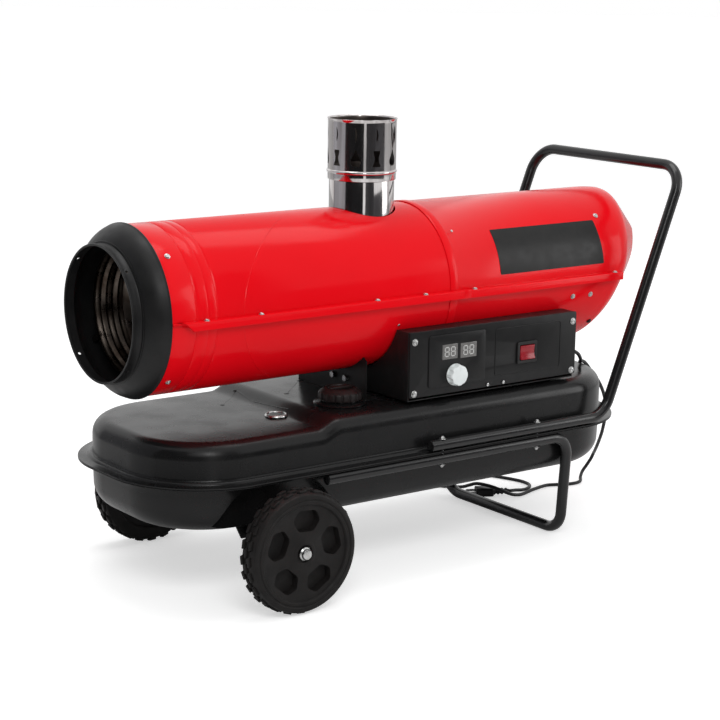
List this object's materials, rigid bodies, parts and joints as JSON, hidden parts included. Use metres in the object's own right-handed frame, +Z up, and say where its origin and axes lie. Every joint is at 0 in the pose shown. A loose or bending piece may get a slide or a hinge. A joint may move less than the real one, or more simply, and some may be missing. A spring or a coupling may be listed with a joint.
{
  "type": "forced air heater",
  "caption": "Wheeled oil fired air heater: a long round barrel with a front outlet and a top flue on a fuel tank, with a push handle, control panel, legs and mains lead.",
  "frame": {"origin": "on the floor, under the middle of the heater without its mains lead", "axes": "+X along the barrel from the air outlet to the push handle, -Y out of the control panel, +Z up"},
  "size_m": [1.153, 0.5798, 0.745],
  "materials": {
    "aluminium": "satin",
    "black_paint": "semi-gloss",
    "board_green": "matte",
    "brass": "satin",
    "display_grey": "gloss",
    "heat_tinted": "heat tinted",
    "motor_grey": "cast",
    "plastic_black": "matte",
    "plastic_grey": "matte",
    "red_paint": "gloss",
    "satin_black": "satin",
    "stainless": "polished",
    "switch_red": "gloss",
    "tyre_black": "matte",
    "zinc": "zinc plated"
  },
  "bodies": {
    "chassis": {"axle": "zinc", "axle_bracket_far": "black_paint", "axle_bracket_near": "black_paint", "burner_head": "heat_tinted", "clamp_bolt_1": "zinc", "clamp_bolt_2": "zinc", "clamp_bolt_3": "zinc", "clamp_bolt_4": "zinc", "control_board": "board_green", "control_tray": "black_paint", "cord_gland": "plastic_black", "display_left": "display_grey", "display_right": "display_grey", "drain_plug": "zinc", "exchanger_drum": "heat_tinted", "fan_motor": "motor_grey", "filler_neck": "black_paint", "flue_cowl": "stainless", "flue_pipe": "stainless", "front_panel": "satin_black", "front_saddle": "black_paint", "fuel_filter": "brass", "fuel_gauge": "zinc", "fuel_hose": "plastic_black", "fuel_pump": "aluminium", "handle_tube": "black_paint", "ignition_transformer": "motor_grey", "intake_guard": "satin_black", "leg_frame": "black_paint", "mains_plug": "plastic_black", "motor_bracket": "zinc", "nozzle": "satin_black", "oil_nozzle": "brass", "outlet_liner": "heat_tinted", "pickup_pipe": "brass", "power_cord": "plastic_black", "power_cord_coil": "plastic_black", "power_cord_tail": "plastic_black", "push_cap_far": "zinc", "push_cap_near": "zinc", "saddle_bolt_1": "zinc", "saddle_bolt_2": "zinc", "shell_front_lower": "red_paint", "shell_front_upper": "red_paint", "shell_rear_lower": "red_paint", "shell_rear_upper": "red_paint", "switch_bezel": "plastic_black", "tank_lower": "black_paint", "tank_upper": "black_paint"},
    "wheel_near": {"wheel_near": "tyre_black"},
    "wheel_far": {"wheel_far": "tyre_black"},
    "fan_wheel": {"fan": "aluminium"},
    "knob": {"thermostat_knob": "plastic_grey"},
    "rocker": {"switch_rocker": "switch_red"},
    "fuel_cap": {"filler_cap": "plastic_black"}
  },
  "joints": [
    {"name": "wheel_near_spin", "type": "hinge", "parent": "chassis", "child": "wheel_near", "pos_m": [-0.319, -0.233, 0.1], "axis": [0, 1, 0], "continuous": true},
    {"name": "wheel_far_spin", "type": "hinge", "parent": "chassis", "child": "wheel_far", "pos_m": [-0.319, 0.233, 0.1], "axis": [0, 1, 0], "continuous": true},
    {"name": "fan_spin", "type": "hinge", "parent": "chassis", "child": "fan_wheel", "pos_m": [0.33, 0, 0.461], "axis": [1, 0, 0], "continuous": true},
    {"name": "knob_turn", "type": "hinge", "parent": "chassis", "child": "knob", "pos_m": [0.042, -0.17, 0.327], "axis": [0, 1, 0], "range_deg": [0, 270]},
    {"name": "rocker_tilt", "type": "hinge", "parent": "chassis", "child": "rocker", "pos_m": [0.201, -0.162, 0.347], "axis": [1, 0, 0], "range_deg": [0, 8]},
    {"name": "cap_turn", "type": "hinge", "parent": "chassis", "child": "fuel_cap", "pos_m": [-0.137, -0.086, 0.295], "axis": [0, 0, 1], "range_deg": [0, 90]}
  ]
}
